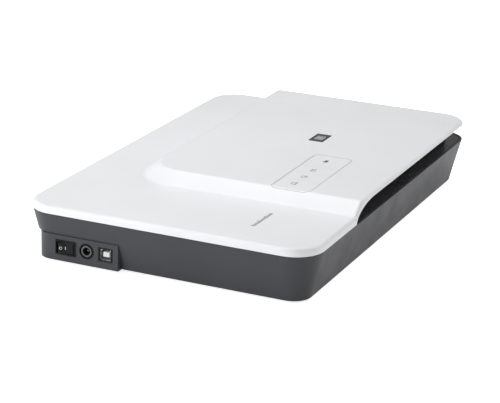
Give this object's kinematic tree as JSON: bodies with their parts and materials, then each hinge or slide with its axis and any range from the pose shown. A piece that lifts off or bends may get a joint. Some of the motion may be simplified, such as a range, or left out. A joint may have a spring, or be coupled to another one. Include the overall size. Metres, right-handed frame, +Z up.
{
  "type": "flatbed scanner",
  "caption": "Flatbed document scanner with a low grey base, a white hinged lid with a raised film-lamp part and finger gap, control keys, and rear-corner sockets.",
  "frame": {"origin": "on the surface it stands on, under the middle of the outline", "axes": "+X along the long side towards the end without sockets, -Y towards the user, +Z up"},
  "size_m": [0.455, 0.303, 0.07],
  "materials": {
    "casing_grey": "satin moulded, fine texture",
    "bezel_black": "semi-gloss",
    "platen_glass": "polished float glass",
    "strip_white": "matte calibration white",
    "rubber_black": "matte",
    "screw_steel": "zinc plated",
    "socket_black": "satin",
    "rocker_black": "polished",
    "contact_metal": "nickel plated",
    "shell_metal": "nickel plated",
    "board_green": "solder mask",
    "component_black": "moulded epoxy",
    "ribbon_white": "film with traces",
    "rod_steel": "ground",
    "sheet_steel": "zinc plated sheet",
    "brass_gear": "machined",
    "belt_rubber": "matte",
    "bearing_white": "natural acetal",
    "inner_black": "matte moulded",
    "lamp_white": "phosphor coated tube",
    "reflector_bright": "bright",
    "mirror_glass": "front-silvered",
    "lens_black": "black anodised",
    "lid_white": "silvery white satin",
    "pan_dark": "matte moulded",
    "badge_dark": "gloss",
    "light_panel": "opal diffuser",
    "mat_backing": "satin sheet",
    "mat_white": "white-faced foam"
  },
  "bodies": {
    "base": {"base_shell": "casing_grey", "base_top_cover": "bezel_black", "platen_glass": "platen_glass", "calibration_strip": "strip_white", "rubber_feet": "rubber_black", "case_screws": "screw_steel", "switch_frame": "socket_black", "power_socket_body": "socket_black", "power_socket_contacts": "contact_metal", "usb_port_plastic": "socket_black", "usb_port_shell": "shell_metal", "main_board": "board_green", "board_components": "component_black", "inner_screws": "screw_steel", "film_lamp_socket": "socket_black", "carriage_ribbon": "ribbon_white", "guide_rod": "rod_steel", "guide_rod_clips": "inner_black", "slider_rails": "bearing_white", "motor_bracket": "sheet_steel", "motor_can": "sheet_steel", "drive_belt": "belt_rubber", "tensioner_bracket": "sheet_steel", "tension_spring": "rod_steel"},
    "carriage": {"carriage_housing": "inner_black", "carriage_bearings": "bearing_white", "belt_clip": "inner_black", "carriage_cover": "inner_black", "scan_lamp": "lamp_white", "lamp_holders": "rubber_black", "lamp_reflector": "reflector_bright", "scan_mirrors": "mirror_glass", "lens_barrel": "lens_black", "lens_clamp": "sheet_steel", "sensor_board": "board_green", "lamp_inverter_board": "board_green"},
    "drive_wheel": {"drive_gear": "bearing_white"},
    "motor_spindle": {"motor_rotor": "rod_steel", "motor_pinion": "brass_gear"},
    "idler": {"idler_pulley": "bearing_white"},
    "switch_rocker": {"power_rocker": "rocker_black"},
    "hinge_lift": {"hinge_posts": "casing_grey", "hinge_pins": "rod_steel"},
    "lid": {"lid_cover": "lid_white", "lid_pan": "pan_dark", "lid_screws": "screw_steel", "lid_bumpers": "rubber_black", "hinge_leaves": "pan_dark", "badge": "badge_dark", "film_light_panel": "light_panel", "film_lamp": "lamp_white", "film_inverter_board": "board_green", "button_board": "board_green", "lid_cable_gland": "rubber_black"},
    "document_mat": {"mat_backing": "mat_backing", "mat_foam": "mat_white"},
    "key_scan": {"button_scan": "lid_white"},
    "key_copy": {"button_copy": "lid_white"},
    "key_mail": {"button_mail": "lid_white"},
    "key_file": {"button_file": "lid_white"}
  },
  "joints": [
    {"name": "carriage_slide", "type": "slide", "parent": "base", "child": "carriage", "axis": [1, 0, 0], "range_m": [0, 0.314], "deforming": ["carriage_ribbon"]},
    {"name": "drive_wheel_spin", "type": "hinge", "parent": "base", "child": "drive_wheel", "pos_m": [-0.186, 0.008, 0.015], "axis": [0, 0, 1], "continuous": true},
    {"name": "motor_spin", "type": "hinge", "parent": "base", "child": "motor_spindle", "pos_m": [-0.186, -0.01, 0.015], "axis": [0, 0, 1], "continuous": true},
    {"name": "idler_spin", "type": "hinge", "parent": "base", "child": "idler", "pos_m": [0.205, 0.008, 0.01], "axis": [0, 0, 1], "continuous": true},
    {"name": "power_switch", "type": "hinge", "parent": "base", "child": "switch_rocker", "pos_m": [-0.2195, 0.1051, 0.0166], "axis": [0, 0, -1], "range_deg": [0, 24]},
    {"name": "hinge_slide", "type": "slide", "parent": "base", "child": "hinge_lift", "axis": [0, 0, 1], "range_m": [0, 0.02]},
    {"name": "lid_hinge", "type": "hinge", "parent": "hinge_lift", "child": "lid", "pos_m": [0, 0.1493, 0.0539], "axis": [-1, 0, 0], "range_deg": [0, 95]},
    {"name": "mat_slide", "type": "slide", "parent": "lid", "child": "document_mat", "axis": [0, -1, 0], "range_m": [0, 0.24]},
    {"name": "key_scan_press", "type": "slide", "parent": "lid", "child": "key_scan", "axis": [0, 0, -1], "range_m": [0, 0.0008], "stiffness_N_per_m": 600, "springref_m": -0.002},
    {"name": "key_copy_press", "type": "slide", "parent": "lid", "child": "key_copy", "axis": [0, 0, -1], "range_m": [0, 0.0008], "stiffness_N_per_m": 600, "springref_m": -0.002},
    {"name": "key_mail_press", "type": "slide", "parent": "lid", "child": "key_mail", "axis": [0, 0, -1], "range_m": [0, 0.0008], "stiffness_N_per_m": 600, "springref_m": -0.002},
    {"name": "key_file_press", "type": "slide", "parent": "lid", "child": "key_file", "axis": [0, 0, -1], "range_m": [0, 0.0008], "stiffness_N_per_m": 600, "springref_m": -0.002}
  ],
  "couplings": [
    {"joint": "drive_wheel_spin", "follows": "carriage_slide", "rad_per_m": 193.24},
    {"joint": "motor_spin", "follows": "carriage_slide", "rad_per_m": -772.95},
    {"joint": "idler_spin", "follows": "carriage_slide", "rad_per_m": 193.24}
  ]
}
